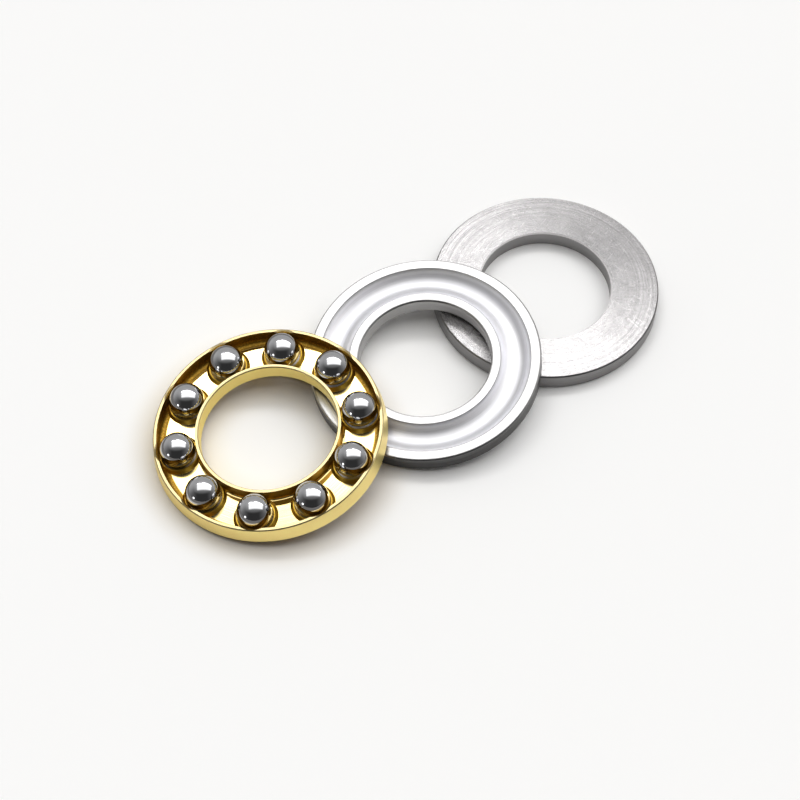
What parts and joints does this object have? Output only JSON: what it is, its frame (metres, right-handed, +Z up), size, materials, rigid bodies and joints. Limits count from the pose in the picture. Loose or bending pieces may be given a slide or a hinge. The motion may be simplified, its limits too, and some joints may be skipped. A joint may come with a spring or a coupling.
{
  "type": "thrust ball bearing",
  "caption": "Single-direction thrust ball bearing laid out in its loose pieces: flat housing washer, grooved shaft washer and a brass cage of steel balls, fanned along a line",
  "frame": {"origin": "Centre of the laid-out footprint, on the floor the pieces stand on", "axes": "+Z is up; the fan of three pieces runs along X, with the flat housing washer at +X and the cage of balls at -X; Y is across the fan"},
  "size_m": [0.0511, 0.0224, 0.0054],
  "materials": {
    "washer_steel": "ground flats, polished groove",
    "ball_steel": "mirror polished",
    "cage_brass": "turned, satin outside and bright inside"
  },
  "bodies": {
    "housing": {"housing_washer": "washer_steel"},
    "shaft": {"shaft_washer": "washer_steel"},
    "cage": {"cage": "cage_brass"},
    "ball_01": {"ball_01": "ball_steel"},
    "ball_02": {"ball_02": "ball_steel"},
    "ball_03": {"ball_03": "ball_steel"},
    "ball_04": {"ball_04": "ball_steel"},
    "ball_05": {"ball_05": "ball_steel"},
    "ball_06": {"ball_06": "ball_steel"},
    "ball_07": {"ball_07": "ball_steel"},
    "ball_08": {"ball_08": "ball_steel"},
    "ball_09": {"ball_09": "ball_steel"},
    "ball_10": {"ball_10": "ball_steel"}
  },
  "joints": [
    {"name": "shaft_spin", "type": "hinge", "parent": "housing", "child": "shaft", "pos_m": [0.00051, -0.00066, 0.00287], "axis": [-0.1164, -0.021, 0.993], "continuous": true},
    {"name": "cage_spin", "type": "hinge", "parent": "housing", "child": "cage", "pos_m": [-0.01531, 0.00066, 0.0027], "axis": [-0.136, 0.0194, 0.9905], "continuous": true},
    {"name": "ball_01_roll", "type": "hinge", "parent": "cage", "child": "ball_01", "pos_m": [-0.01456, 0.00882, 0.00264], "axis": [0.0918, 0.9958, -0.0069], "continuous": true},
    {"name": "ball_02_roll", "type": "hinge", "parent": "cage", "child": "ball_02", "pos_m": [-0.00995, 0.00683, 0.00332], "axis": [0.6541, 0.7527, 0.075], "continuous": true},
    {"name": "ball_03_roll", "type": "hinge", "parent": "cage", "child": "ball_03", "pos_m": [-0.00739, 0.00248, 0.00375], "axis": [0.9665, 0.2221, 0.1283], "continuous": true},
    {"name": "ball_04_roll", "type": "hinge", "parent": "cage", "child": "ball_04", "pos_m": [-0.00785, -0.00257, 0.00379], "axis": [0.9098, -0.3933, 0.1326], "continuous": true},
    {"name": "ball_05_roll", "type": "hinge", "parent": "cage", "child": "ball_05", "pos_m": [-0.01117, -0.00638, 0.00341], "axis": [0.5056, -0.8585, 0.0862], "continuous": true},
    {"name": "ball_06_roll", "type": "hinge", "parent": "cage", "child": "ball_06", "pos_m": [-0.01607, -0.00751, 0.00276], "axis": [-0.0918, -0.9958, 0.0069], "continuous": true},
    {"name": "ball_07_roll", "type": "hinge", "parent": "cage", "child": "ball_07", "pos_m": [-0.02068, -0.00551, 0.00208], "axis": [-0.6541, -0.7527, -0.075], "continuous": true},
    {"name": "ball_08_roll", "type": "hinge", "parent": "cage", "child": "ball_08", "pos_m": [-0.02324, -0.00116, 0.00165], "axis": [-0.9665, -0.2221, -0.1283], "continuous": true},
    {"name": "ball_09_roll", "type": "hinge", "parent": "cage", "child": "ball_09", "pos_m": [-0.02277, 0.00388, 0.00161], "axis": [-0.9098, 0.3933, -0.1326], "continuous": true},
    {"name": "ball_10_roll", "type": "hinge", "parent": "cage", "child": "ball_10", "pos_m": [-0.01946, 0.0077, 0.00199], "axis": [-0.5056, 0.8585, -0.0862], "continuous": true}
  ],
  "couplings": [
    {"joint": "cage_spin", "follows": "shaft_spin", "ratio": 0.5},
    {"joint": "ball_01_roll", "follows": "shaft_spin", "ratio": 2.5827},
    {"joint": "ball_02_roll", "follows": "shaft_spin", "ratio": 2.5827},
    {"joint": "ball_03_roll", "follows": "shaft_spin", "ratio": 2.5827},
    {"joint": "ball_04_roll", "follows": "shaft_spin", "ratio": 2.5827},
    {"joint": "ball_05_roll", "follows": "shaft_spin", "ratio": 2.5827},
    {"joint": "ball_06_roll", "follows": "shaft_spin", "ratio": 2.5827},
    {"joint": "ball_07_roll", "follows": "shaft_spin", "ratio": 2.5827},
    {"joint": "ball_08_roll", "follows": "shaft_spin", "ratio": 2.5827},
    {"joint": "ball_09_roll", "follows": "shaft_spin", "ratio": 2.5827},
    {"joint": "ball_10_roll", "follows": "shaft_spin", "ratio": 2.5827}
  ]
}
